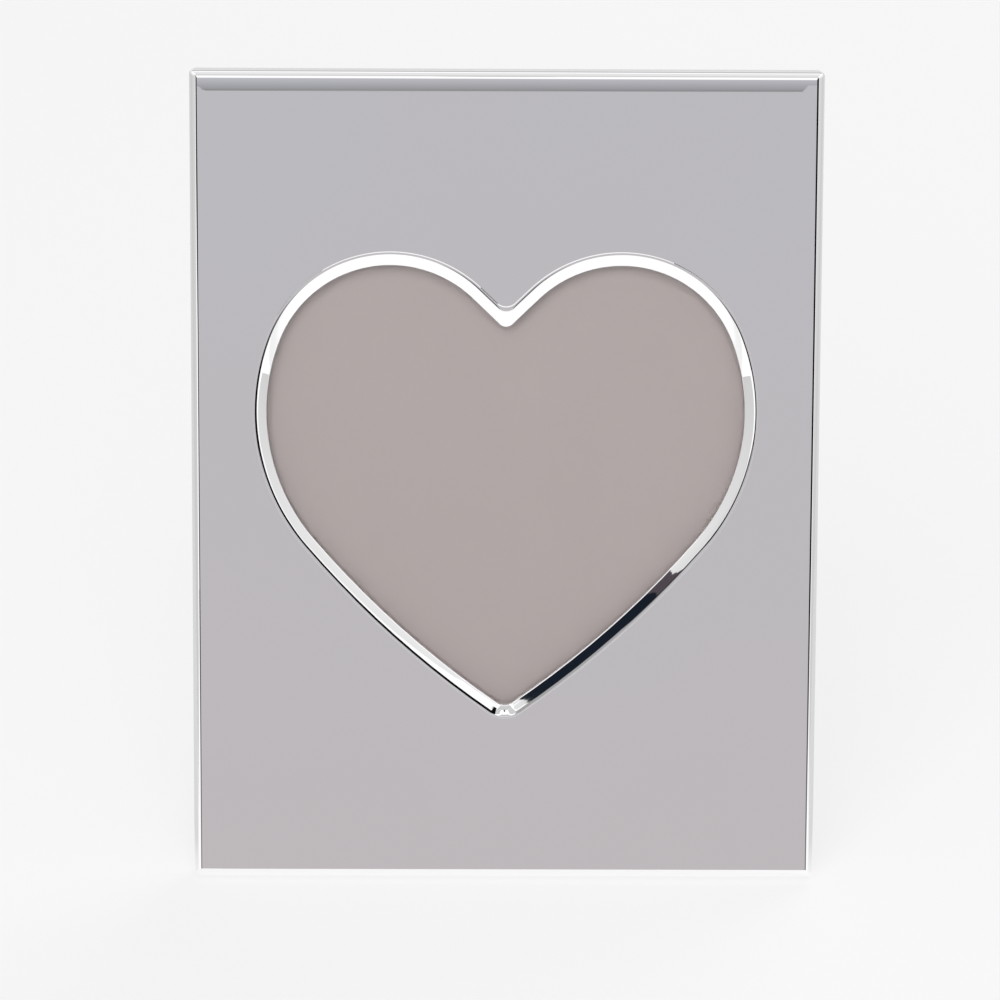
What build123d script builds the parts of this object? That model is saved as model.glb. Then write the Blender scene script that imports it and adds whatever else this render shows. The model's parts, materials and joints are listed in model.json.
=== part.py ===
from build123d import *
from math import cos, radians, sin
import os

# Photo frame with a heart shaped aperture: a pressed metal plate with rolled edges, a raised
# border round the aperture, glass, a paper insert, and a flocked back with a hinged strut.
#
# Everything is drawn flat first, in millimetres: X to the right, Y up the plate and Z out of its
# front face, with the origin at the centre of that face. A depth is a distance behind the front
# face. The strut is drawn folded and then swung open about its hinge. Last, the whole frame is
# stood up and leant back, so that it rests on the tray's back edge and the strut's foot.

# Front plate, one pressed and plated sheet
plate_depth = 9.0
sheet = 1.0
edge_radius = 2.0
corner_extra = 0.2

# Heart aperture: tangent arcs from the tip round one lobe, then a straight run to the dip
heart_width = 117.0
heart_tip_drop = 56.2
heart_tip_radius = 3.3
heart_dip_radius = 2.3
heart_radius_shares = (2.024, 0.4157, 0.2472)
heart_headings = (34.8, 49.5, 111.2, 223.7)

# Raised border of the aperture: a low upright wall, then a gentle bend and a band that falls
# towards the glass
rim_width = 3.3
rim_height = 1.1
rim_dip_radius = 3.3
rim_lip = 0.8
rim_wall_shares = ((1.0, 0.0), (1.0, 0.92), (0.975, 1.0))
rim_band_shares = ((0.9, 1.0), (0.74, 0.95), (0.575, 0.85), (0.08, 0.48), (0.03, 0.37), (0.0, 0.17))

# The print and the layers behind the plate
print_width = 127.0
print_height = 178.0
print_thickness = 0.3
glass_thickness = 2.0
card_thickness = 1.5
board_thickness = 2.5
flock_thickness = 0.5

# Battens that fill the tray between the rebate and the returns
side_batten_width = 11.8
end_batten_width = 9.3

# Clearances
fit_gap = 0.05
glass_gap = 0.1
rebate_gap = 0.5
liner_gap = 0.2
button_gap = 0.2
head_gap = 0.1
side_gap = 0.2
stop_gap = 0.2
swing_gap = 0.3
strut_gap = 0.6
overrun = 1.0

# Strut hinge: one leaf on the back board, one on the strut, and the pin
hinge_height = 18.0
hinge_width = 26.0
hinge_sheet = 0.8
hinge_corner_radius = 2.0
hinge_plate_length = 16.0
hinge_leaf_width = 22.0
hinge_leaf_length = 20.0
knuckle_width = 9.6
pin_radius = 0.8
pin_head_radius = 1.25
pin_head_length = 0.6

# Strut, wider at its foot
strut_top_width = 32.0
strut_top_radius = 2.0
strut_foot_width = 58.0
strut_foot_radius = 4.0

# Rivets of both hinge leaves
rivet_radius = 1.2
rivet_head_radius = 2.2
rivet_head_height = 0.9
rivet_head_round = 0.7
rivet_sink_radius = 2.0
rivet_sink_depth = 0.8
rivet_spacing = 15.0
board_rivet_rise = 10.0
strut_rivet_drop = 14.0

# Turn-buttons and their screws
button_inset = 6.0
button_end_inset = 37.5
button_length = 12.5
button_thickness = 0.8
button_pivot_radius = 4.0
button_tip_radius = 3.0
button_play = 0.08
rib_length = 5.0
rib_width = 1.6
rib_height = 0.4
screw_radius = 1.25
screw_depth = 5.0
screw_head_radius = 2.6
screw_head_height = 1.2
screw_head_round = 0.5
screw_slot_length = 3.2
screw_slot_width = 0.6
screw_slot_depth = 0.6

# How it stands, in degrees
lean = 15.0
strut_angle = 25.0

# Depths at which the layers start, front to back
glass_front = sheet
print_front = glass_front + glass_thickness
card_front = print_front + print_thickness
board_front = card_front + card_thickness
flock_front = board_front + board_thickness
back_face = flock_front + flock_thickness

# Rebate, battens and tray, from the print outwards
rebate_width = print_width + 2 * rebate_gap
rebate_height = print_height + 2 * rebate_gap
liner_outer_width = rebate_width + 2 * side_batten_width
liner_outer_height = rebate_height + 2 * end_batten_width
plate_width = liner_outer_width + 2 * (liner_gap + sheet)
plate_height = liner_outer_height + 2 * (liner_gap + sheet)
bend_radius = edge_radius - sheet

# Hinge and strut
knuckle_radius = pin_radius + fit_gap + hinge_sheet
hinge_depth = back_face + swing_gap + knuckle_radius
hinge_plate_back = back_face + hinge_sheet
hinge_leaf_front = hinge_depth + knuckle_radius - hinge_sheet
hinge_leaf_top = hinge_height - knuckle_radius - swing_gap
strut_front = back_face + strut_gap
strut_thickness = hinge_leaf_front - strut_front
strut_top = hinge_leaf_top - side_gap
ground_drop = plate_height / 2 * cos(radians(lean)) + plate_depth * sin(radians(lean))
hinge_level = hinge_height * cos(radians(lean)) - hinge_depth * sin(radians(lean))
strut_pitch = radians(strut_angle - lean)
strut_offset = (hinge_depth - strut_front) * sin(strut_pitch)
strut_reach = (ground_drop + hinge_level - strut_offset) / cos(strut_pitch)

# Turn-buttons
button_front = back_face + button_gap
button_back = button_front + button_thickness
button_x = rebate_width / 2 + button_inset
button_y = rebate_height / 2 - button_end_inset


def slab(outline, front, thickness):
    """A flat layer whose front face lies at a depth behind the plate's face."""
    return extrude(Pos(0, 0, -front) * outline, thickness, dir=(0, 0, -1))


def rod(radius, front, length, x, y):
    """A round shank along the depth."""
    return Pos(x, y, 0) * slab(Circle(radius), front, length)


def barrel(radius, length):
    """A round bar on the hinge's axis."""
    return Pos(0, hinge_height, -hinge_depth) * Rot(0, 90, 0) * Cylinder(radius, length)


def button_spots():
    """Where the turn-buttons pivot: upper left, upper right, lower left, lower right."""
    return [(side * button_x, level * button_y) for level in (1, -1) for side in (-1, 1)]


def rivet_spots(y):
    """A leaf's two rivets, side by side."""
    return [(side * rivet_spacing / 2, y) for side in (-1, 1)]


def heart(grow):
    """The aperture's outline as a face, grown outwards by a distance."""
    radii = [heart_tip_radius] + [share * heart_width for share in heart_radius_shares]
    spot = Vector(0, -heart_tip_drop - grow)
    heading = 0
    half = Curve()
    for radius, turned in zip(radii, heart_headings):
        reach = radius + grow
        centre = spot + Vector(-sin(radians(heading)), cos(radians(heading))) * reach
        arc = CenterArc(centre, reach, heading - 90, turned - heading)
        half += arc
        spot = arc @ 1
        heading = turned
    dip = heart_dip_radius + (rim_dip_radius - heart_dip_radius) * grow / rim_width
    ahead = Vector(cos(radians(heading)), sin(radians(heading)))
    inward = Vector(-ahead.Y, ahead.X)
    dip_start = spot + ahead * ((dip * inward.X - spot.X) / ahead.X)
    half += Line(spot, dip_start)
    half += CenterArc(dip_start - inward * dip, dip, 270, heading - 180)
    return make_face(half + mirror(half, about=Plane.YZ))


def front_plate():
    """A tray pressed from one sheet, with the aperture cut out of its face."""
    corner = edge_radius + corner_extra
    shell = slab(RectangleRounded(plate_width, plate_height, corner), 0, plate_depth)
    shell = fillet(shell.faces().sort_by(Axis.Z)[-1].edges(), edge_radius)
    inner_width = plate_width - 2 * sheet
    inner_height = plate_height - 2 * sheet
    hollow = slab(RectangleRounded(inner_width, inner_height, corner - sheet), sheet, plate_depth)
    hollow = fillet(hollow.faces().sort_by(Axis.Z)[-1].edges(), bend_radius)
    aperture = slab(heart(rim_lip + fit_gap), -overrun, sheet + 2 * overrun)
    return shell - hollow - aperture


def heart_rim():
    """The border: a low wall on the plate, a lip through the cut-out and a dished inner band."""

    def level(grow_share, rise_share):
        return Pos(0, 0, rise_share * rim_height) * heart(grow_share * rim_width)

    wall = loft([level(*shares) for shares in rim_wall_shares], ruled=True)
    lip = slab(heart(rim_lip), 0, sheet - glass_gap)
    band = [level(*shares) for shares in rim_band_shares]
    above = Pos(0, 0, overrun) * band[0]
    below = Pos(0, 0, -sheet - overrun) * heart(0)
    dish = loft([above] + band + [below], ruled=True)
    return wall + lip - dish


def liners():
    """Mitred battens that fill the tray round the rebate."""
    outline = RectangleRounded(liner_outer_width, liner_outer_height, bend_radius + corner_extra)
    ring = slab(outline, sheet, back_face - sheet)
    ring = chamfer(ring.faces().sort_by(Axis.Z)[-1].edges(), bend_radius)
    ring -= slab(Rectangle(rebate_width, rebate_height), 0, back_face + overrun)
    for x, y in button_spots():
        ring -= rod(screw_radius + fit_gap, back_face - screw_depth, screw_depth + overrun, x, y)
    # The mitre line runs through the rebate's corner and the ring's corner, half a batten past both
    near_x, near_y = (rebate_width - side_batten_width) / 2, (rebate_height - end_batten_width) / 2
    far_x, far_y = (liner_outer_width + side_batten_width) / 2, (liner_outer_height + end_batten_width) / 2
    upper = Polygon((-far_x, far_y), (far_x, far_y), (near_x, near_y), (-near_x, near_y), align=None)
    right = Polygon((far_x, far_y), (far_x, -far_y), (near_x, -near_y), (near_x, near_y), align=None)
    liner_top = ring & slab(upper, 0, back_face + overrun)
    liner_right = ring & slab(right, 0, back_face + overrun)
    return {
        "liner_top": liner_top,
        "liner_bottom": mirror(liner_top, about=Plane.XZ),
        "liner_left": mirror(liner_right, about=Plane.YZ),
        "liner_right": liner_right,
    }


def rivet(x, y, inner_face, outer_face):
    """A domed head on the leaf, and a sunk head flush with the far side."""
    head = rod(rivet_head_radius, outer_face, rivet_head_height, x, y)
    head = fillet(head.faces().sort_by(Axis.Z)[0].edges(), rivet_head_round)
    sunk_spot = Pos(x, y, -inner_face - rivet_sink_depth / 2)
    sunk = sunk_spot * Cone(rivet_radius, rivet_sink_radius, rivet_sink_depth)
    return head + rod(rivet_radius, inner_face, outer_face - inner_face, x, y) + sunk


def rivet_hole(x, y, inner_face):
    """Clearance hole for a rivet whose sunk head lies at a depth."""
    sunk_spot = Pos(x, y, -inner_face - rivet_sink_depth / 2)
    sunk = sunk_spot * Cone(rivet_radius + fit_gap, rivet_sink_radius + fit_gap, rivet_sink_depth)
    mouth = rod(rivet_sink_radius + fit_gap, inner_face - overrun, overrun, x, y)
    return rod(rivet_radius + fit_gap, inner_face, hinge_depth, x, y) + sunk + mouth


def drilled(piece, spots, inner_face):
    """A layer or leaf with the rivets' holes through it."""
    for x, y in spots:
        piece -= rivet_hole(x, y, inner_face)
    return piece


def layers():
    """Glass, print, backing card, board and flock, all cut to the print's size."""
    sheet_outline = Rectangle(print_width, print_height)
    spots = rivet_spots(hinge_height + board_rivet_rise)
    return {
        "glass_pane": slab(sheet_outline, glass_front, glass_thickness),
        "photo_insert": slab(sheet_outline, print_front, print_thickness),
        "backing_card": slab(sheet_outline, card_front, card_thickness),
        "back_board": drilled(slab(sheet_outline, board_front, board_thickness), spots, board_front),
        "back_velvet": drilled(slab(sheet_outline, flock_front, flock_thickness), spots, board_front),
    }


def leaf_outline(width, length, top, rounded_end):
    """A leaf's flat part, with the two corners at one end rounded."""
    outline = Pos(0, top - length / 2) * Rectangle(width, length)
    corners = outline.vertices().sort_by(Axis.Y)
    return fillet(corners[-2:] if rounded_end == "top" else corners[:2], hinge_corner_radius)


def hinge_plate():
    """Leaf on the back board, with an outer knuckle at each side."""
    outline = leaf_outline(hinge_width, hinge_plate_length, hinge_height + hinge_plate_length, "top")
    leaf = slab(outline, back_face, hinge_sheet) + barrel(knuckle_radius, hinge_width)
    leaf -= barrel(pin_radius + fit_gap, hinge_width + overrun)
    between = Rectangle(knuckle_width + 2 * side_gap, 2 * (knuckle_radius + swing_gap))
    leaf -= slab(Pos(0, hinge_height) * between, back_face - overrun, hinge_depth)
    return drilled(leaf, rivet_spots(hinge_height + board_rivet_rise), board_front)


def hinge_leaf():
    """Leaf on the strut: the middle knuckle runs on into the tongue that stops the strut."""
    leaf_offset = hinge_leaf_front - hinge_depth
    stop_offset = hinge_depth - hinge_plate_back - stop_gap
    open_angle = radians(strut_angle)
    tongue_rise = (leaf_offset * cos(open_angle) + stop_offset) / sin(open_angle)
    outline = leaf_outline(hinge_leaf_width, hinge_leaf_length, hinge_leaf_top, "bottom")
    neck_length = tongue_rise + hinge_height - hinge_leaf_top + hinge_corner_radius
    neck_middle = hinge_height + tongue_rise - neck_length / 2
    outline += Pos(0, neck_middle) * Rectangle(knuckle_width, neck_length)
    leaf = slab(outline, hinge_leaf_front, hinge_sheet) + barrel(knuckle_radius, knuckle_width)
    leaf -= barrel(pin_radius + fit_gap, hinge_width)
    return drilled(leaf, rivet_spots(hinge_height - strut_rivet_drop), strut_front)


def hinge_pin():
    """A wire pin, flattened to a head at each end."""
    shank_length = hinge_width + 2 * fit_gap
    head_x = (shank_length + pin_head_length) / 2
    pin = barrel(pin_radius, shank_length)
    for side in (-1, 1):
        pin += Pos(side * head_x, 0, 0) * barrel(pin_head_radius, pin_head_length)
    return pin


def strut_outline():
    """The leg seen from behind, folded."""
    foot = hinge_height - strut_reach
    half_top, half_foot = strut_top_width / 2, strut_foot_width / 2
    outline = Polygon(
        (-half_top, strut_top), (half_top, strut_top), (half_foot, foot), (-half_foot, foot), align=None
    )
    outline = fillet(outline.vertices().sort_by(Axis.Y)[-2:], strut_top_radius)
    return fillet(outline.vertices().sort_by(Axis.Y)[:2], strut_foot_radius)


def strut():
    """The leg, its flock with a notch round the leaf, its leaf and its rivets."""
    spots = rivet_spots(hinge_height - strut_rivet_drop)
    outline = strut_outline()
    notch_height = hinge_leaf_length + 2 * swing_gap
    notch = Rectangle(hinge_leaf_width + 2 * swing_gap, notch_height)
    flock = outline - Pos(0, hinge_leaf_top + swing_gap - notch_height / 2) * notch
    rivets = [rivet(x, y, strut_front, hinge_leaf_front + hinge_sheet) for x, y in spots]
    return {
        "strut_board": drilled(slab(outline, strut_front, strut_thickness), spots, strut_front),
        "strut_velvet": slab(flock, hinge_leaf_front, flock_thickness),
        "hinge_leaf": hinge_leaf(),
        "strut_rivets": Part() + rivets,
    }


def turn_button(x, y):
    """A swivelling clip that points to the middle of the frame."""
    tip_x = button_length - button_tip_radius
    tip = Pos(tip_x, 0) * Circle(button_tip_radius)
    outline = make_hull(Circle(button_pivot_radius).edges() + tip.edges())
    button = slab(outline, button_front, button_thickness)
    rib_x = tip_x + button_tip_radius / 2 - rib_length / 2
    rib_outline = Pos(rib_x, 0) * SlotOverall(rib_length, rib_width)
    button += slab(rib_outline, button_front + button_thickness / 2, button_thickness / 2 + rib_height)
    button -= rod(screw_radius + button_play, 0, 2 * button_back, 0, 0)
    return Pos(x, y, 0) * (button if x < 0 else mirror(button, about=Plane.YZ))


def turn_button_screws():
    """Domed screws with a cross slot, one through each turn-button into its batten."""
    head_front = button_back + head_gap
    shank = rod(screw_radius, back_face - screw_depth, head_front - back_face + screw_depth, 0, 0)
    head = rod(screw_head_radius, head_front, screw_head_height, 0, 0)
    head = fillet(head.faces().sort_by(Axis.Z)[0].edges(), screw_head_round)
    slot = Rectangle(screw_slot_length, screw_slot_width) + Rectangle(screw_slot_width, screw_slot_length)
    head -= slab(slot, head_front + screw_head_height - screw_slot_depth, screw_slot_depth + overrun)
    screw = shank + head
    return Part() + [Pos(x, y, 0) * screw for x, y in button_spots()]


pieces = {"front_plate": front_plate(), "heart_rim": heart_rim()}
pieces.update(layers())
pieces.update(liners())
pieces["hinge_plate"] = hinge_plate()
pieces["hinge_pin"] = hinge_pin()
pieces["board_rivets"] = Part() + [
    rivet(x, y, board_front, hinge_plate_back) for x, y in rivet_spots(hinge_height + board_rivet_rise)
]
pieces["turn_button_screws"] = turn_button_screws()
for number, (x, y) in enumerate(button_spots(), start=1):
    pieces[f"turn_button_{number}"] = turn_button(x, y)

swing = Pos(0, hinge_height, -hinge_depth) * Rot(strut_angle, 0, 0) * Pos(0, -hinge_height, hinge_depth)
for name, piece in strut().items():
    pieces[name] = swing * piece

stand = Rot(90 - lean, 0, 0)
box = Compound([stand * piece for piece in pieces.values()]).bounding_box()
home = Pos(0, -box.center().Y, -box.min.Z) * stand

os.makedirs("parts", exist_ok=True)
for name, piece in pieces.items():
    export_step(home * piece, f"parts/{name}.step")
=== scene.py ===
import json
from math import asin, cos, degrees, pi, radians, sin

import bpy
import numpy as np
from mathutils import Matrix, Quaternion, Vector
from mathutils.geometry import tessellate_polygon


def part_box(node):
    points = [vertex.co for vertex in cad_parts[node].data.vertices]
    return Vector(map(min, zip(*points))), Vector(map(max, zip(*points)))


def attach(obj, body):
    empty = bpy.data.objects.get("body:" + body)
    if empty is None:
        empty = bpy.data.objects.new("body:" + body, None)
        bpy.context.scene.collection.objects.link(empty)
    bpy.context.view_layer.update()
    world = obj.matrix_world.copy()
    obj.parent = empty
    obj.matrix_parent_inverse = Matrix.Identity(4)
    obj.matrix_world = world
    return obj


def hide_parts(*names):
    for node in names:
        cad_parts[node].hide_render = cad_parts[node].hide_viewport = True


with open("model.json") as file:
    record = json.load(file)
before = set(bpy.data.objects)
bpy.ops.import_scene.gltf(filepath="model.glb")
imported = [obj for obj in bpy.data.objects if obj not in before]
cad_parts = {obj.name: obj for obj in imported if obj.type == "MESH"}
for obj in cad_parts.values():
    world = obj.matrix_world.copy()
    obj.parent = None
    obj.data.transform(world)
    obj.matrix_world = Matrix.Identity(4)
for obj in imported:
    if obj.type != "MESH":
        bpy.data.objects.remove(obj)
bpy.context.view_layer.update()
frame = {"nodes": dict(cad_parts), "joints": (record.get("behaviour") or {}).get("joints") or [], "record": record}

# Photo frame with a heart shaped aperture. Sizes are in metres and angles in degrees.
#
# The plate's own axes are X to the right, Y up the plate and Z out of its face, with the origin at
# the middle of the flat face. A turn-button's pivot runs straight back, which gives their tilt.
sheet = 0.001
glass_thickness = 0.002
glass_gap = 0.0001

pivots = {joint["name"]: joint for joint in frame["joints"]}
right = Vector((1, 0, 0))
outward = -Vector(pivots["turn_button_1_pivot"]["axis"])
up = outward.cross(right)
glass_low, glass_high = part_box("glass_pane")
face_middle = (glass_low + glass_high) / 2 + outward * (sheet + glass_thickness / 2)
plate_axes = Matrix((right, up, outward)).transposed().to_4x4()
plate_axes.translation = face_middle
row_to_plate = plate_axes.inverted()


def plate_box(node):
    """A node's lowest and highest corners in the plate's own axes."""
    spots = np.array([row_to_plate @ v.co for v in frame["nodes"][node].data.vertices])
    return Vector(spots.min(axis=0)), Vector(spots.max(axis=0))


# Rolled edges of the plate: a tight curl that ends in a wider brow, and corners that tighten
# inwards, to nearly sharp ones where the flat face starts
plate_low, plate_high = plate_box("front_plate")
plate_depth = -plate_low.z
edge_radius = 0.002
edge_brow_radius = 0.0037
edge_brow_facing = 8
corner_radius = 0.0013
face_corner_radius = 0.00005
bend_radius = 0.001
burr_radius = 0.0001

# Heart aperture: tangent arcs from the tip round one lobe, then a straight run to the dip
heart_width = 0.117
heart_tip_drop = 0.0562
heart_tip_radius = 0.0033
heart_dip_radius = 0.0023
heart_radius_shares = (2.024, 0.4157, 0.2472)
heart_headings = (34.8, 49.5, 111.2, 223.7)
aperture_grow = 0.00085

# Raised border: a low wall, a gentle bend, a band that falls inwards and a tight inner edge
rim_width = 0.0033
rim_height = 0.0011
rim_dip_radius = 0.0033
rim_lip = 0.0008
wall_edge_radius = 0.00004
rim_bend_radius = 0.0045
rim_bend_facing = -12
band_radius = 0.025
inner_edge_radius = 0.00035

# The paper insert, a hair behind the glass
paper_gap = 0.00003
paper_round = 0.0001

# How finely curves are divided: degrees to a step, and steps to a straight side
arc_step = 1.5
fold_step = 5
burr_step = 30
curl_step = 3
brow_step = 1
wall_edge_step = 15
straight_steps = 24

# An outline is moved by this much to find how its points spread as it grows
nudge = 0.00001


class Section:
    """A wall's section as it is walked: distance outside an outline, height, and facing.

    Facing is the angle from the plate's Z towards the outline's outward side.
    """

    def __init__(self, reach, height, facing):
        self.spots = [(reach, height)]
        self.stretches = []
        self.facing = facing

    def run(self, length, facing=None):
        """A straight stretch, square to its facing. A new facing makes a crease first."""
        self.facing = self.facing if facing is None else facing
        reach, height = self.spots[-1]
        turned = radians(self.facing)
        self.spots.append((reach - length * cos(turned), height + length * sin(turned)))
        self.stretches.append((self.facing, self.facing))

    def turn(self, radius, facing, step=fold_step):
        """An arc to a new facing. A negative radius makes a hollow one."""
        reach, height = self.spots[-1]
        here = radians(self.facing)
        middle_reach, middle_height = reach - radius * sin(here), height - radius * cos(here)
        for angle in course(self.facing, facing, step)[1:]:
            turned = radians(angle)
            self.spots.append((middle_reach + radius * sin(turned), middle_height + radius * cos(turned)))
            self.stretches.append((self.facing, angle))
            self.facing = angle


class Shell:
    """A mesh gathered ring by ring, with a normal of its own at each corner of a face."""

    def __init__(self):
        self.spots = []
        self.faces = []
        self.normals = []

    def ring(self, spots, height):
        """Adds a closed ring of points at a height, and gives back their numbers."""
        first = len(self.spots)
        self.spots.extend((x, y, height) for x, y in spots)
        return range(first, len(self.spots))

    def band(self, before, after, before_normals, after_normals):
        """Joins two rings of as many points with faces."""
        for here in range(len(before)):
            there = (here + 1) % len(before)
            self.faces.append((before[here], before[there], after[there], after[here]))
            self.normals.extend((before_normals[here], before_normals[there]))
            self.normals.extend((after_normals[there], after_normals[here]))

    def wall(self, section, outline, closed=False):
        """Sweeps a section round an outline, and gives back its first and last rings."""
        rings = []
        outlines = []
        for reach, height in section.spots:
            spots, facing = outline(reach)
            moved = outline(reach + nudge)[0] - outline(reach - nudge)[0]
            outlines.append((facing, (moved * facing).sum(axis=1) / (2 * nudge)))
            closing = closed and len(rings) == len(section.spots) - 1
            rings.append(rings[0] if closing else self.ring(spots, height))

        def normals(place, angle):
            facing, spread = outlines[place]
            tilted = np.column_stack((facing * sin(radians(angle)), spread * cos(radians(angle))))
            return tilted / np.linalg.norm(tilted, axis=1)[:, None]

        for place, (start, end) in enumerate(section.stretches):
            self.band(rings[place], rings[place + 1], normals(place, start), normals(place + 1, end))
        return rings[0], rings[-1]

    def flat(self, rings, facing):
        """Fills the flat space inside the first ring and outside any others; facing is 1 or -1."""
        numbers = [number for ring in rings for number in ring]
        loops = [[Vector(self.spots[number]) for number in ring] for ring in rings]
        for corners in tessellate_polygon(loops):
            a, b, c = (Vector(self.spots[numbers[corner]]) for corner in corners)
            ordered = corners if (b - a).cross(c - a).z * facing > 0 else reversed(corners)
            self.faces.append([numbers[corner] for corner in ordered])
            self.normals.extend([(0, 0, facing)] * 3)

    def build(self, name):
        """Makes the object, turned from the plate's axes into the frame's."""
        mesh = bpy.data.meshes.new(name)
        mesh.from_pydata([plate_axes @ Vector(spot) for spot in self.spots], [], self.faces)
        mesh.shade_smooth()
        turn = plate_axes.to_3x3()
        mesh.normals_split_custom_set([turn @ Vector(normal) for normal in self.normals])
        piece = bpy.data.objects.new(name, mesh)
        bpy.context.scene.collection.objects.link(piece)
        return piece


def direction(angles):
    """Unit vectors at angles from the X axis."""
    turned = np.radians(angles)
    return np.stack((np.cos(turned), np.sin(turned)), axis=-1)


def course(start, end, step):
    """Angles from one to the other, in steps of about the given size."""
    return np.linspace(start, end, max(1, round(abs(end - start) / step)) + 1)


def heart(grow):
    """Points round the aperture's outline, grown outwards, and the outward direction at each."""
    spots = [np.array([[0.0, -heart_tip_drop - grow]])]
    headings = [np.array([0.0])]

    def arc(radius, turned):
        here = headings[-1][-1]
        middle = spots[-1][-1] - radius * direction(here - 90)
        headings.append(course(here, turned, arc_step)[1:])
        spots.append(middle + radius * direction(headings[-1] - 90))

    radii = [heart_tip_radius] + [share * heart_width for share in heart_radius_shares]
    for radius, turned in zip(radii, heart_headings):
        arc(radius + grow, turned)
    last_heading = heart_headings[-1]
    ahead = direction(last_heading)
    dip_radius = heart_dip_radius + (rim_dip_radius - heart_dip_radius) * grow / rim_width
    run = (-dip_radius * ahead[1] - spots[-1][-1][0]) / ahead[0]
    spots.append(spots[-1][-1] + ahead * np.linspace(0, run, straight_steps + 1)[1:, None])
    headings.append(np.full(straight_steps, last_heading))
    arc(-dip_radius, 180)

    half = np.concatenate(spots)
    facing = direction(np.concatenate(headings) - 90)
    mirrored = np.array((-1, 1))
    return (
        np.concatenate((half, half[-2:0:-1] * mirrored)),
        np.concatenate((facing, facing[-2:0:-1] * mirrored)),
    )


def rounded_rectangle(half_width, half_height, radius):
    """Points round a rectangle with rounded corners, and the outward direction at each."""
    spots = []
    facing = []
    for quarter, (side, level) in enumerate(((1, -1), (1, 1), (-1, 1), (-1, -1))):
        middle = np.array((side * (half_width - radius), level * (half_height - radius)))
        turned = direction(course(quarter * 90 - 90, quarter * 90, fold_step))
        spots.append(middle + radius * turned)
        facing.append(turned)
    for quarter in range(4):
        start, end = spots[quarter][-1], spots[(quarter + 1) % 4][0]
        straight = np.linspace(start, end, straight_steps + 1)[1:-1]
        spots[quarter] = np.concatenate((spots[quarter], straight))
        along = np.repeat(facing[quarter][-1:], len(straight), axis=0)
        facing[quarter] = np.concatenate((facing[quarter], along))
    return np.concatenate(spots), np.concatenate(facing)


def plate_outline(reach):
    """The plate's outline, drawn in where the reach is negative, with corners that tighten inwards."""
    corner = corner_radius + (corner_radius - face_corner_radius) * reach / edge_radius
    return rounded_rectangle(plate_high.x + reach, plate_high.y + reach, corner)


def front_plate():
    """The pressed tray: flat face, rolled edges, returns with deburred ends, and the cut-out."""
    tray = Section(-edge_radius, -sheet, 180)
    tray.turn(-bend_radius, 270)
    tray.run(plate_depth - sheet - bend_radius - burr_radius)
    tray.turn(burr_radius, 180, step=burr_step)
    tray.run(sheet - 2 * burr_radius)
    tray.turn(burr_radius, 90, step=burr_step)
    brow = radians(edge_brow_facing)
    curl_radius = (edge_radius - edge_brow_radius * sin(brow)) / (1 - sin(brow))
    roll_height = curl_radius * cos(brow) + edge_brow_radius * (1 - cos(brow))
    tray.run(plate_depth - burr_radius - roll_height)
    tray.turn(curl_radius, edge_brow_facing, step=curl_step)
    tray.turn(edge_brow_radius, 0, step=brow_step)
    cut = Section(aperture_grow, 0, -90)
    cut.run(sheet)

    shell = Shell()
    inside_edge, face_edge = shell.wall(tray, plate_outline)
    cut_front, cut_back = shell.wall(cut, heart)
    shell.flat([face_edge, cut_front], 1)
    shell.flat([inside_edge, cut_back], -1)
    return shell.build("front_plate_tray")


def heart_border():
    """The raised border: it sits on the plate, and its lip goes through the cut-out to the glass."""
    fall = sheet - glass_gap
    section = Section(rim_width, 0, 90)
    section.run(rim_height - wall_edge_radius)
    section.turn(wall_edge_radius, 0, step=wall_edge_step)
    section.turn(rim_bend_radius, rim_bend_facing, step=arc_step)
    band_start = band_radius * sin(radians(rim_bend_facing))
    inner_start = inner_edge_radius * sin(radians(rim_bend_facing))
    band_reach = section.spots[-1][0] - inner_edge_radius - inner_start
    band_facing = degrees(asin((band_start - band_reach) / band_radius))
    section.turn(band_radius, band_facing, step=arc_step)
    section.turn(inner_edge_radius, -90)
    section.run(section.spots[-1][1] + fall)
    section.run(rim_lip, facing=180)
    section.run(fall, facing=90)
    section.run(rim_width - rim_lip, facing=180)

    shell = Shell()
    shell.wall(section, heart, closed=True)
    return shell.build("heart_border")


def paper_insert():
    """The print's sheet of paper, cut square, with edges eased by the knife."""
    low, high = plate_box("photo_insert")
    section = Section(-paper_round, low.z, 180)
    section.turn(paper_round, 90, step=burr_step)
    section.run(high.z - low.z - paper_gap - 2 * paper_round)
    section.turn(paper_round, 0, step=burr_step)

    def outline(reach):
        return rounded_rectangle(high.x + reach, high.y + reach, 2 * paper_round + reach)

    shell = Shell()
    back_edge, front_edge = shell.wall(section, outline)
    shell.flat([front_edge], 1)
    shell.flat([back_edge], -1)
    return shell.build("paper_insert")


def add(tree, kind, inputs=None, **settings):
    """A node with its settings, and with its inputs set to values or joined to other nodes."""
    node = tree.nodes.new(kind)
    for name, value in settings.items():
        setattr(node, name, value)
    for name, value in (inputs or {}).items():
        if isinstance(value, bpy.types.NodeSocket):
            tree.links.new(value, node.inputs[name])
        else:
            node.inputs[name].default_value = value
    return node


def worked_out(tree, operation, *values):
    """The result of a Math node."""
    return add(tree, "ShaderNodeMath", dict(enumerate(values)), operation=operation).outputs[0]


def mixed_value(tree, share, first, second):
    """A value between two. A Mix node's value sockets are 2 and 3, and give output 0."""
    return add(tree, "ShaderNodeMix", {"Factor": share, 2: first, 3: second}, data_type="FLOAT").outputs[0]


def mixed_colour(tree, share, first, second):
    """A colour between two. A Mix node's colour sockets are 6 and 7, and give output 2."""
    return add(tree, "ShaderNodeMix", {"Factor": share, 6: first, 7: second}, data_type="RGBA").outputs[2]


def mixed_shader(tree, share, first, second):
    """A shader between two."""
    return add(tree, "ShaderNodeMixShader", {0: share, 1: first, 2: second}).outputs[0]


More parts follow.
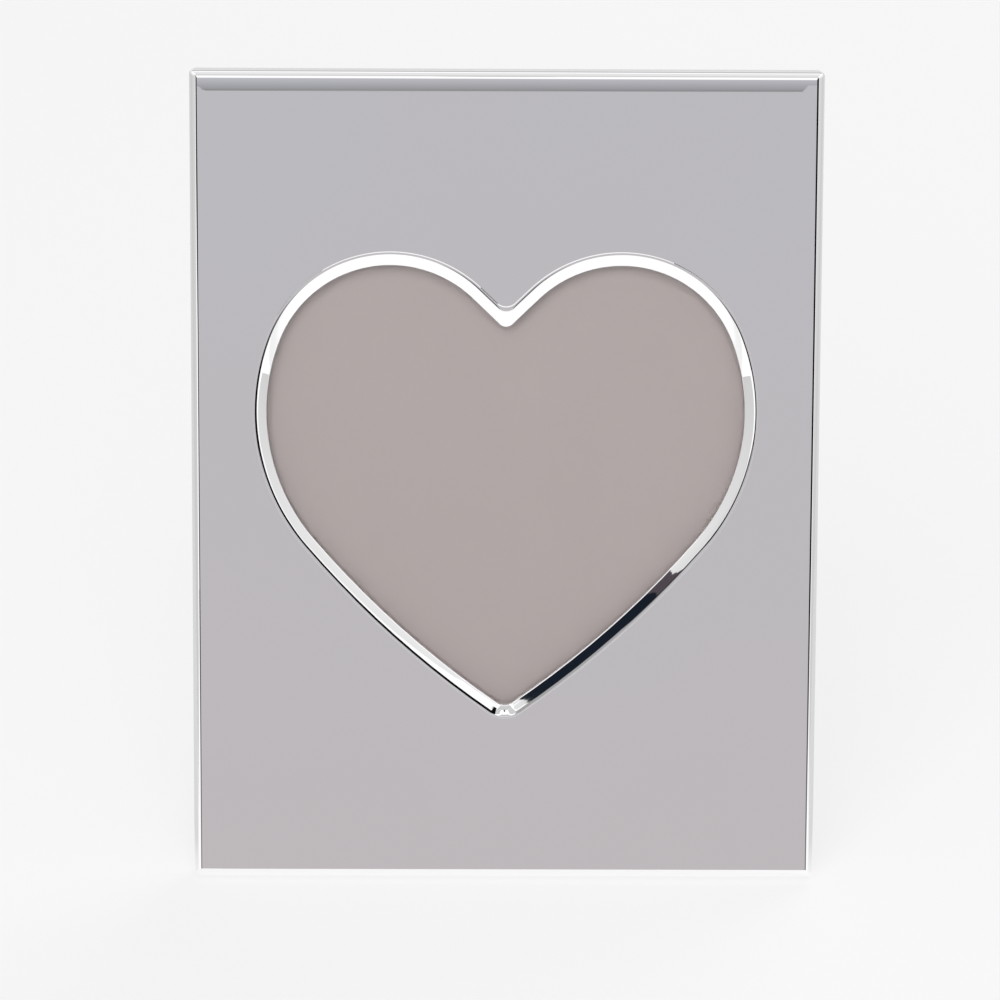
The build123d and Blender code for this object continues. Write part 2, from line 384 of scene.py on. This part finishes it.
def new_group(name, inputs, outputs):
    """An empty shader node group with named sockets, and its two end nodes."""
    tree = bpy.data.node_groups.new(name, "ShaderNodeTree")
    kinds = {"vector": "NodeSocketVector", "value": "NodeSocketFloat"}
    for socket, kind in inputs.items():
        tree.interface.new_socket(socket, in_out="INPUT", socket_type=kinds[kind])
    for socket, kind in outputs.items():
        tree.interface.new_socket(socket, in_out="OUTPUT", socket_type=kinds[kind])
    return tree, tree.nodes.new("NodeGroupInput"), tree.nodes.new("NodeGroupOutput")


# Noise keeps between these two levels, which a mask spreads from 0 to 1
noise_low = 0.3
noise_high = 0.7

# Mottle is this much coarser than the grain that it lies in
mottle_scale = 0.08

# Hairlines are where a drawn out noise crosses its middle level
hairline_headings = (25, -50)
hairline_draw = 0.04
hairline_level = 0.5
hairline_width = 0.012


def noise(tree, vector, scale, settings):
    """The level of a noise texture."""
    values = {"Vector": vector, "Scale": scale, **settings}
    return add(tree, "ShaderNodeTexNoise", values).outputs["Fac"]


def spread_mask(tree, level, interpolation="LINEAR"):
    """A noise's level as a mask."""
    values = {"Value": level, "From Min": noise_low, "From Max": noise_high}
    return add(tree, "ShaderNodeMapRange", values, interpolation_type=interpolation).outputs["Result"]


def soft_patches():
    """Large soft patches, as a mask round a half."""
    tree, given, result = new_group(
        "soft_patches", {"Vector": "vector", "Scale": "value"}, {"Mask": "value"}
    )
    level = noise(tree, given.outputs["Vector"], given.outputs["Scale"], {"Detail": 2, "Roughness": 0.4})
    tree.links.new(spread_mask(tree, level, "SMOOTHSTEP"), result.inputs["Mask"])
    return tree


def fine_grain():
    """Fine grain drawn out along X by a stretch, with a coarser mottle in it, as a mask and a height."""
    tree, given, result = new_group(
        "fine_grain",
        {"Vector": "vector", "Scale": "value", "Stretch": "value", "Mottle": "value"},
        {"Mask": "value", "Height": "value"},
    )
    vector = given.outputs["Vector"]
    scale = given.outputs["Scale"]
    drawn = worked_out(tree, "DIVIDE", 1.0, given.outputs["Stretch"])
    squeeze = add(tree, "ShaderNodeCombineXYZ", {"X": drawn, "Y": 1.0, "Z": 1.0}).outputs[0]
    squeezed = add(tree, "ShaderNodeVectorMath", {0: vector, 1: squeeze}, operation="MULTIPLY").outputs[0]
    fine = noise(tree, squeezed, scale, {"Detail": 4, "Roughness": 0.65})
    coarse_scale = worked_out(tree, "MULTIPLY", scale, mottle_scale)
    coarse = noise(tree, vector, coarse_scale, {"Detail": 3, "Roughness": 0.5})
    mottled = mixed_value(tree, given.outputs["Mottle"], fine, coarse)
    tree.links.new(spread_mask(tree, mottled), result.inputs["Mask"])
    tree.links.new(fine, result.inputs["Height"])
    return tree


def hairlines():
    """Sparse fine scratches in two directions, as a mask that is 1 in a scratch."""
    tree, given, result = new_group(
        "hairlines", {"Vector": "vector", "Scale": "value", "Amount": "value"}, {"Mask": "value"}
    )
    lines = []
    for heading in hairline_headings:
        placing = {
            "Vector": given.outputs["Vector"],
            "Rotation": (0, 0, radians(heading)),
            "Scale": (hairline_draw, 1, 1),
        }
        drawn = add(tree, "ShaderNodeMapping", placing).outputs["Vector"]
        level = noise(tree, drawn, given.outputs["Scale"], {"Detail": 1, "Distortion": 0.3})
        lines.append(worked_out(tree, "COMPARE", level, hairline_level, hairline_width))
    either = worked_out(tree, "MAXIMUM", *lines)
    faded = worked_out(tree, "MULTIPLY", either, given.outputs["Amount"])
    tree.links.new(faded, result.inputs["Mask"])
    return tree


effects = {"soft_patches": soft_patches(), "fine_grain": fine_grain(), "hairlines": hairlines()}


class Finish:
    """A material being made: its shader, the plate's axes as coordinates, and short node calls."""

    def __init__(self, name, constants):
        self.material = bpy.data.materials.new(name)
        self.material.use_nodes = True
        self.tree = self.material.node_tree
        self.shader = self.tree.nodes["Principled BSDF"]
        for socket, value in constants.items():
            self.shader.inputs[socket].default_value = value
        placed = add(self.tree, "ShaderNodeTexCoord").outputs["Object"]
        self.spot = self.turned(placed, (-np.arctan2(up.z, up.y), 0, 0))

    def turned(self, spot, rotation):
        """Coordinates turned by angles in radians."""
        placing = {"Vector": spot, "Rotation": rotation}
        return add(self.tree, "ShaderNodeMapping", placing).outputs["Vector"]

    def use(self, name, output="Mask", **inputs):
        """One output of a shared effect at this finish's own values."""
        values = {"Vector": self.spot, **{socket.title(): value for socket, value in inputs.items()}}
        return add(self.tree, "ShaderNodeGroup", values, node_tree=effects[name]).outputs[output]

    def blend(self, mask, first, second):
        """A colour between two, by a mask."""
        return mixed_colour(self.tree, mask, first, second)

    def between(self, mask, low, high):
        """A value between two, by a mask."""
        values = {"Value": mask, "To Min": low, "To Max": high}
        return add(self.tree, "ShaderNodeMapRange", values).outputs["Result"]

    def feed(self, socket, output):
        """Joins an output to one of the shader's inputs."""
        self.tree.links.new(output, self.shader.inputs[socket])

    def bump(self, height, depth):
        """A relief of a real depth."""
        relief = add(self.tree, "ShaderNodeBump", {"Height": height, "Distance": depth, "Strength": 1.0})
        self.feed("Normal", relief.outputs["Normal"])


def colour(red, green, blue):
    """An opaque colour."""
    return red, green, blue, 1.0


def grey(level):
    """A plain grey, where 1 is white."""
    return colour(level, level, level)


def plate_plating():
    """Mirror plating on pressed sheet, with faint warm and cool clouding."""
    finish = Finish("plate_plating", {"Metallic": 1.0})
    warm = colour(0.925, 0.912, 0.918)
    cool = colour(0.920, 0.921, 0.930)
    finish.feed("Base Color", finish.blend(finish.use("soft_patches", scale=14), warm, cool))
    haze = finish.use("soft_patches", scale=35)
    finish.feed("Roughness", finish.between(haze, low=0.002, high=0.007))
    return finish.material


def border_plating():
    """Brighter polished plating of the raised border."""
    finish = Finish("border_plating", {"Metallic": 1.0})
    clouding = finish.use("soft_patches", scale=60)
    warm = grey(0.945)
    cool = colour(0.96, 0.96, 0.965)
    finish.feed("Base Color", finish.blend(clouding, warm, cool))
    finish.feed("Roughness", finish.between(clouding, low=0.004, high=0.012))
    return finish.material


def clear_glass():
    """Float glass: shadows and soft light pass straight through it."""
    finish = Finish("clear_glass", {"Transmission Weight": 1.0, "IOR": 1.5})
    smears = finish.use("soft_patches", scale=40)
    smeared = colour(0.985, 0.99, 0.987)
    clean = colour(0.995, 0.998, 0.996)
    finish.feed("Base Color", finish.blend(smears, smeared, clean))
    finish.feed("Roughness", finish.between(smears, low=0.0, high=0.008))
    rays = add(finish.tree, "ShaderNodeLightPath")
    passing = worked_out(
        finish.tree, "MAXIMUM", rays.outputs["Is Shadow Ray"], rays.outputs["Is Diffuse Ray"]
    )
    clear = add(finish.tree, "ShaderNodeBsdfTransparent").outputs[0]
    mixed = mixed_shader(finish.tree, passing, finish.shader.outputs[0], clear)
    finish.tree.links.new(mixed, finish.tree.nodes["Material Output"].inputs["Surface"])
    return finish.material


def taupe_paper():
    """Matt printed paper with a fine tooth."""
    finish = Finish("taupe_paper", {"Roughness": 0.75})
    tooth = {"scale": 5200, "stretch": 1.5, "mottle": 0.35}
    dark = colour(0.408, 0.344, 0.337)
    light = colour(0.428, 0.362, 0.354)
    finish.feed("Base Color", finish.blend(finish.use("fine_grain", **tooth), dark, light))
    finish.bump(finish.use("fine_grain", output="Height", **tooth), depth=0.000008)
    return finish.material


def grey_board():
    """Uncoated recycled card with flecks."""
    finish = Finish("grey_board", {"Roughness": 0.9})
    fibres = finish.use("fine_grain", scale=2600, stretch=4, mottle=0.3)
    dark = colour(0.33, 0.31, 0.28)
    light = colour(0.5, 0.48, 0.44)
    finish.feed("Base Color", finish.blend(fibres, dark, light))
    finish.bump(fibres, depth=0.00004)
    return finish.material


def black_batten(name, along_y):
    """Black stained softwood, with its grain along the batten."""
    finish = Finish(name, {"Roughness": 0.55})
    if along_y:
        finish.spot = finish.turned(finish.spot, (0, 0, pi / 2))
    grain = finish.use("fine_grain", scale=2200, stretch=18, mottle=0.25)
    dark = colour(0.012, 0.011, 0.011)
    light = colour(0.045, 0.042, 0.040)
    finish.feed("Base Color", finish.blend(grain, dark, light))
    finish.feed("Roughness", finish.between(grain, low=0.45, high=0.7))
    finish.bump(grain, depth=0.00008)
    return finish.material


def hardboard():
    """Brown pressed fibre board."""
    finish = Finish("hardboard", {"Roughness": 0.8})
    fibres = finish.use("fine_grain", scale=3000, stretch=3, mottle=0.4)
    dark = colour(0.10, 0.055, 0.03)
    light = colour(0.30, 0.19, 0.11)
    finish.feed("Base Color", finish.blend(fibres, dark, light))
    finish.bump(fibres, depth=0.00006)
    return finish.material


def black_flock():
    """Short black flock with painted sheen and shade: brushed patches painted a little lighter and darker, and
    fibre ends painted lighter than the painted shade low in the pile.
    """
    finish = Finish(
        "black_flock",
        {
            "Roughness": 0.95,
            "Specular IOR Level": 0.1,
            "Sheen Weight": 0.6,
            "Sheen Roughness": 0.4,
            "Sheen Tint": colour(0.55, 0.55, 0.6),
        },
    )
    # Painted sheen: patches of the brushed nap are painted a little lighter and darker
    brushed = finish.use("soft_patches", scale=45)
    fibres = finish.use("fine_grain", scale=4200, stretch=1.3, mottle=0.2)
    # Painted shade low in the pile, and painted sheen on the fibre ends
    pile_shade = finish.blend(brushed, colour(0.010, 0.010, 0.011), colour(0.022, 0.022, 0.024))
    fibre_end_sheen = finish.blend(brushed, colour(0.034, 0.034, 0.037), colour(0.068, 0.068, 0.073))
    finish.feed("Base Color", finish.blend(fibres, pile_shade, fibre_end_sheen))
    finish.bump(fibres, depth=0.00025)
    return finish.material


# What all the plated steel shares: how far its marks roughen it, and how deep they are
marked_roughness = 0.18
mark_depth = 0.00001


def steel(name, dark, light, roughness, scale, stretch):
    """Plated steel with the marks of rolling or drawing along X."""
    finish = Finish(name, {"Metallic": 1.0})
    marks = finish.use("fine_grain", scale=scale, stretch=stretch, mottle=0.3)
    scratches = finish.use("hairlines", scale=1400, amount=1.0)
    finish.feed("Base Color", finish.blend(marks, colour(*dark), colour(*light)))
    worn = worked_out(finish.tree, "MAXIMUM", marks, scratches)
    finish.feed("Roughness", finish.between(worn, roughness, roughness + marked_roughness))
    finish.bump(marks, mark_depth)
    return finish.material


slot_finishes = {
    "plate_metal": plate_plating(),
    "rim_metal": border_plating(),
    "glass": clear_glass(),
    "insert_paper": taupe_paper(),
    "grey_card": grey_board(),
    "black_batten": black_batten("batten_along_x", along_y=False),
    "hardboard": hardboard(),
    "velvet": black_flock(),
    "hinge_steel": steel(
        "zinc_sheet", (0.50, 0.51, 0.53), (0.64, 0.65, 0.67), roughness=0.28, scale=1500, stretch=12
    ),
    "pin_steel": steel(
        "drawn_wire", (0.55, 0.55, 0.55), (0.70, 0.70, 0.70), roughness=0.22, scale=2500, stretch=30
    ),
    "rivet_steel": steel(
        "rivet_heads", (0.60, 0.60, 0.61), (0.68, 0.68, 0.69), roughness=0.2, scale=6000, stretch=2
    ),
    "button_steel": steel(
        "nickel_sheet", (0.58, 0.57, 0.55), (0.72, 0.71, 0.68), roughness=0.2, scale=1800, stretch=10
    ),
    "screw_steel": steel(
        "screw_heads", (0.56, 0.56, 0.57), (0.66, 0.66, 0.67), roughness=0.24, scale=5000, stretch=3
    ),
}
upright_batten = black_batten("batten_along_y", along_y=True)


def dress_nodes():
    """Gives every CAD node the finish of its material slot."""
    for part in frame["record"]["subparts"]:
        node = frame["nodes"][part["node"]]
        finish = slot_finishes[part["material_slot"]]
        if part["node"] in ("liner_left", "liner_right"):
            finish = upright_batten
        node.data.materials.clear()
        node.data.materials.append(finish)


def stand_in(piece, node, slot):
    """Puts a modelled piece in a CAD node's place."""
    piece.data.materials.append(slot_finishes[slot])
    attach(piece, "frame")
    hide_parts(node)


# Studio: levels are brightness, where 1 is white
backdrop_level = 0.913
soft_light_level = 0.4
glossy_level = 1.1

# The floor, as it is seen and as the metal mirrors it. What the metal mirrors is a painted reflection: the floor's
# glow is painted bright close to the frame and darker beside the frame and behind it
floor_albedo = 0.90
floor_radius = 9.0
floor_sides = 96
floor_share_seen = 0.72
floor_seen_level = 1.0
floor_painted_reflection_levels = (1.15, 0.74)
floor_painted_reflection_reach = (0.06, 0.12)
floor_side_share = 1.2

# Lamps: where they hang, how wide they are in metres, and their power in watts
lamp_places = {
    "front_lamp": {"azimuth": -10, "elevation": 38, "distance": 1.7, "size": 1.3, "power": 15},
    "back_lamp": {"azimuth": 150, "elevation": 45, "distance": 2.2, "size": 1.2, "power": 14},
}

# Cards hang at about one distance from the plate's middle, and nearer ones hide those behind
card_distance = 6.0
tip_distance = 0.6
hole_distance = card_distance - 0.2
band_distance = card_distance - 0.1
line_distance = card_distance - 0.04
strip_distance = card_distance - 0.02
shade_distance = card_distance + 0.05
slope_distance = card_distance + 0.1
wall_distance = card_distance + 0.2

# How finely a curved card is divided: degrees round it, and rows of points
wall_step = 1.5
wall_rows = 9

# Edges that cards share: azimuths of the front card's sides, and elevations
front_left = -4.7
front_right = 5.8
front_foot = -0.9
front_top = 13.26
low_flag_top = 4.5
wall_top = 34

# Tints of the front card, warmer at its foot, and of the tip card that stands before it
front_foot_tint = colour(0.556, 0.527, 0.539)
front_top_tint = colour(0.538, 0.533, 0.560)
tip_foot_tint = colour(0.545, 0.531, 0.552)


def toward(azimuth, elevation, distance):
    """A spot in a direction. Azimuth 0 is where the plate faces, and grows to the right."""
    turned = radians(azimuth)
    raised = radians(elevation)
    level = Vector((sin(turned), -cos(turned), 0))
    return face_middle + distance * (cos(raised) * level + Vector((0, 0, sin(raised))))


def glow(name, low, high):
    """A reflector's plain glow, from one tint at its foot to another at its top."""
    material = bpy.data.materials.new(name)
    material.use_nodes = True
    tree = material.node_tree
    tree.nodes.clear()
    place = add(tree, "ShaderNodeTexCoord").outputs["Generated"]
    height = add(tree, "ShaderNodeSeparateXYZ", {0: place}).outputs["Z"]
    emission = add(tree, "ShaderNodeEmission", {"Color": mixed_colour(tree, height, low, high)})
    add(tree, "ShaderNodeOutputMaterial", {"Surface": emission.outputs[0]})
    return material


def card(name, spots, faces, low, high):
    """A studio card or flag that only reflections show."""
    mesh = bpy.data.meshes.new(name)
    mesh.from_pydata(spots, [], faces)
    mesh.materials.append(glow(name + "_glow", low, high))
    piece = bpy.data.objects.new(name, mesh)
    bpy.context.scene.collection.objects.link(piece)
    piece.visible_camera = False
    piece.visible_diffuse = False
    piece.visible_transmission = False
    piece.visible_shadow = False


def flat_card(name, corners, low, high=None, distance=card_distance):
    """A card cut to corners, each given by its azimuth and elevation."""
    spots = [toward(*corner, distance) for corner in corners]
    card(name, spots, [range(len(spots))], low, high or low)


def curved_card(name, foot, top, low, high=None):
    """A card curved round the frame, from a foot of azimuths and elevations up to a level top."""
    foot_azimuths, foot_elevations = zip(*foot)
    across = course(foot_azimuths[0], foot_azimuths[-1], wall_step)
    feet = np.interp(across, foot_azimuths, foot_elevations)
    spots = [
        toward(azimuth, low_end + (top - low_end) * share, wall_distance)
        for share in np.linspace(0, 1, wall_rows)
        for azimuth, low_end in zip(across, feet)
    ]
    row = len(across)
    faces = [
        (i + j * row, i + 1 + j * row, i + 1 + (j + 1) * row, i + (j + 1) * row)
        for j in range(wall_rows - 1)
        for i in range(row - 1)
    ]
    card(name, spots, faces, low, high or low)


def pale_floor():
    """A pale floor that keeps the frame's shadow, with a glow in reflections that is painted brighter close to the
    frame.
    """
    bpy.ops.mesh.primitive_circle_add(vertices=floor_sides, radius=floor_radius, fill_type="NGON")
    floor = bpy.context.object
    floor.name = "floor"
    material = bpy.data.materials.new("pale_floor")
    material.use_nodes = True
    tree = material.node_tree
    tree.nodes.clear()
    place = add(tree, "ShaderNodeTexCoord").outputs["Object"]
    parts = add(tree, "ShaderNodeSeparateXYZ", {0: place}).outputs
    # Painted reflection: the floor's glow for glossy rays is painted bright near the frame and darker farther away
    aside = worked_out(tree, "ABSOLUTE", parts["X"])
    reach = worked_out(tree, "MULTIPLY_ADD", aside, floor_side_share, parts["Y"])
    fall = {
        "Value": reach,
        "From Min": floor_painted_reflection_reach[0],
        "From Max": floor_painted_reflection_reach[1],
        "To Min": floor_painted_reflection_levels[0],
        "To Max": floor_painted_reflection_levels[1],
    }
    painted_reflection_level = add(tree, "ShaderNodeMapRange", fall).outputs["Result"]
    matt = add(tree, "ShaderNodeBsdfDiffuse", {"Color": grey(floor_albedo)}).outputs[0]
    seen = add(tree, "ShaderNodeEmission", {"Strength": floor_seen_level}).outputs[0]
    mirrored = add(tree, "ShaderNodeEmission", {"Strength": painted_reflection_level}).outputs[0]
    rays = add(tree, "ShaderNodeLightPath").outputs
    straight = worked_out(tree, "MAXIMUM", rays["Is Camera Ray"], rays["Is Transmission Ray"])
    shown = worked_out(tree, "MAXIMUM", straight, rays["Is Glossy Ray"])
    share = worked_out(tree, "MULTIPLY", shown, floor_share_seen)
    lift = mixed_shader(tree, rays["Is Glossy Ray"], seen, mirrored)
    add(tree, "ShaderNodeOutputMaterial", {"Surface": mixed_shader(tree, share, matt, lift)})
    floor.data.materials.append(material)


def studio_world():
    """An even world: soft light for the object, and a pale backdrop that is seen and mirrored."""
    world = bpy.data.worlds.new("studio")
    bpy.context.scene.world = world
    world.use_nodes = True
    tree = world.node_tree
    tree.nodes.clear()
    soft, seen, shiny = (
        add(tree, "ShaderNodeBackground", {"Color": grey(level)}).outputs[0]
        for level in (soft_light_level, backdrop_level, glossy_level)
    )
    rays = add(tree, "ShaderNodeLightPath").outputs
    straight = worked_out(tree, "MAXIMUM", rays["Is Camera Ray"], rays["Is Transmission Ray"])
    backdrop = mixed_shader(tree, straight, soft, seen)
    surface = mixed_shader(tree, rays["Is Glossy Ray"], backdrop, shiny)
    add(tree, "ShaderNodeOutputWorld", {"Surface": surface})


def lamps():
    """Soft lamps that reflections don't show: one over the camera and one behind."""
    for name, place in lamp_places.items():
        lamp = bpy.data.lights.new(name, "AREA")
        lamp.size = place["size"]
        lamp.energy = place["power"]
        holder = bpy.data.objects.new(name, lamp)
        holder.location = toward(place["azimuth"], place["elevation"], place["distance"])
        holder.rotation_mode = "QUATERNION"
        holder.rotation_quaternion = (face_middle - holder.location).to_track_quat("-Z", "Y")
        holder.visible_glossy = False
        bpy.context.scene.collection.objects.link(holder)


def front_cards():
    """The grey card that the flat face mirrors, the dark strip along its top, and a thin painted shadow line at
    the strip's foot.
    """
    flat_card(
        "grey_front_card",
        [
            (front_left, front_foot), (front_right, front_foot),
            (front_right, front_top), (front_left, front_top),
        ],
        front_foot_tint, front_top_tint,
    )
    strip_foot = 12.915
    strip_end = 5.48
    slant = 0.1
    line = 0.028
    flat_card(
        "dark_top_strip",
        [
            (front_left + 2 * slant, strip_foot), (strip_end, strip_foot),
            (strip_end + slant, strip_foot + slant), (front_right, strip_foot + slant),
            (front_right, front_top), (front_left, front_top), (front_left, strip_foot + slant),
        ],
        colour(0.305, 0.305, 0.325), colour(0.72, 0.73, 0.78), distance=strip_distance,
    )
    # A painted shadow: a thin dark line along the foot of the dark strip
    flat_card(
        "painted_shadow_line",
        [
            (front_left + 2 * slant, strip_foot), (strip_end, strip_foot),
            (strip_end, strip_foot + line), (front_left + slant, strip_foot + line),
        ],
        grey(0.30), distance=line_distance,
    )


def right_cards():
    """Black flags on the right and a pale slope beyond them, which the border's left half mirrors."""
    flat_card(
        "right_flag",
        [
            (front_right, low_flag_top), (18, low_flag_top), (20, 11.4), (18.2, 18.1), (16.6, 20.5),
            (15.1, 21.95), (19, 25.9), (14.6, 29), (9.5, 22.9), (front_right, 15.5),
        ],
        grey(0.004),
    )
    flat_card(
        "right_low_flag",
        [(front_right, front_foot), (14, front_foot), (18, low_flag_top), (front_right, low_flag_top)],
        grey(0.25), grey(0.01),
    )
    flat_card(
        "right_slope",
        [(22.2, 10.5), (19.1, 18.4), (17.6, 20.4), (17.6, 22.5), (20.2, 26), (22.2, 28)],
        grey(0.76), grey(0.86), distance=slope_distance,
    )


def left_cards():
    """Black flags on the left and a pale slope beyond them, which the border's right half mirrors."""
    flag_edge = [(-6.2, 12.2), (-9.2, 15.9), (-11.75, 18.5), (-14.85, 21.25)]
    flat_card(
        "left_flag",
        [
            (front_left, low_flag_top), (front_left, 11), *flag_edge, (-15.9, 20), (-15.5, 17),
            (-15.5, 11), (-11.5, 8.7), (-11.5, low_flag_top),
        ],
        grey(0.02),
    )
    flat_card(
        "left_low_flag",
        [(front_left, front_foot), (-11.5, front_foot), (-12.5, low_flag_top), (front_left, low_flag_top)],
        grey(0.2), grey(0.02),
    )
    flat_card(
        "shade_card", [(front_left, 11), *flag_edge, (-13, 23), (-7, 16.8), (front_left, 14)],
        grey(0.38),
    )
    flat_card(
        "left_slope",
        [(-20, 10.5), (-16.6, 14), (-16.2, 17), (-16.5, 19.8), (-14.8, 22), (-15, 27), (-20, 27)],
        grey(0.70), grey(0.80), distance=slope_distance,
    )


def lower_branch_bands():
    """The navy and purple bands that the border's lower right branch mirrors."""
    flat_card(
        "navy_card",
        [(-13.4, 21.2), (-14.3, 20.3), (-19.4, 24), (-25.6, 28.2), (-23.05, 30.65), (-17.72, 25.65)],
        colour(0.010, 0.014, 0.022), distance=band_distance,
    )
    flat_card(
        "purple_card",
        [(-14.3, 20.3), (-14.45, 20.05), (-19.65, 23.75), (-26.1, 27.6), (-25.6, 28.2), (-19.4, 24)],
        colour(0.08, 0.066, 0.078), distance=band_distance,
    )


def tip_cards():
    """What the heart's tip mirrors: grey cards, with a small dark hole in the highest."""
    flat_card("upper_card", [(-14, 31), (12, 31), (12, 60), (-14, 60)], grey(0.6), grey(0.9))
    hole_azimuth = 0.4
    hole_elevation = 31
    hole_radius = 1.2
    hole_corners = 16
    flat_card(
        "lamp_hole",
        [
            (hole_azimuth + cos(angle) * hole_radius, hole_elevation + sin(angle) * hole_radius)
            for angle in np.linspace(0, 2 * pi, hole_corners + 1)[1:]
        ],
        grey(0.02), distance=hole_distance,
    )
    flat_card(
        "tip_card", [(-3.2, 9.8), (3.4, 9.8), (3.4, 20.8), (-3.2, 20.8)],
        tip_foot_tint, front_top_tint, distance=tip_distance,
    )
    flat_card(
        "left_tip_shade", [(-12.5, 19), (-5.8, 19), (-5.8, 31.2), (-14, 31.2)],
        grey(0.64), distance=shade_distance,
    )
    flat_card(
        "right_tip_shade", [(6.5, 19), (12.5, 19), (13, 31.2), (6.5, 31.2)],
        grey(0.64), distance=shade_distance,
    )


def walls():
    """Pale walls round the frame, with a ceiling and a darker back."""
    curved_card(
        "left_wall", [(-180, -1), (-31, -1), (-28.6, 0.35), (-19.5, 2.95)], wall_top,
        grey(0.635), grey(0.86),
    )
    curved_card(
        "right_wall", [(21.6, 2.4), (29.5, 0.15), (31, -1), (180, -1)], wall_top,
        grey(0.66), grey(0.90),
    )
    curved_card("ceiling_card", [(-70, 60), (70, 60)], 88, grey(0.86))
    curved_card("back_card", [(120, 40), (240, 40)], 70, grey(0.55))


# Camera, from the photograph's perspective: where it looks on the plate's face and from how far
lens = 146.7
camera_aim = (-0.0013, -0.0050)
camera_distance = 1.0007
camera_azimuth = -0.49
camera_elevation = 23.68
camera_roll = 0.38


def photo_camera():
    """The camera at the photograph's viewing angle."""
    away = Vector((
        sin(radians(camera_azimuth)) * cos(radians(camera_elevation)),
        -cos(radians(camera_azimuth)) * cos(radians(camera_elevation)),
        sin(radians(camera_elevation)),
    ))
    camera = bpy.data.objects.new("photo_camera", bpy.data.cameras.new("photo_camera"))
    camera.data.lens = lens
    camera.location = plate_axes @ Vector((*camera_aim, 0)) + away * camera_distance
    camera.rotation_mode = "QUATERNION"
    level = (-away).to_track_quat("-Z", "Y")
    camera.rotation_quaternion = level @ Quaternion((0, 0, 1), radians(camera_roll))
    bpy.context.scene.collection.objects.link(camera)
    bpy.context.scene.camera = camera


dress_nodes()
stand_in(front_plate(), "front_plate", "plate_metal")
stand_in(heart_border(), "heart_rim", "rim_metal")
stand_in(paper_insert(), "photo_insert", "insert_paper")
pale_floor()
studio_world()
lamps()
front_cards()
right_cards()
left_cards()
lower_branch_bands()
tip_cards()
walls()
photo_camera()
bpy.context.scene.view_settings.view_transform = "Standard"
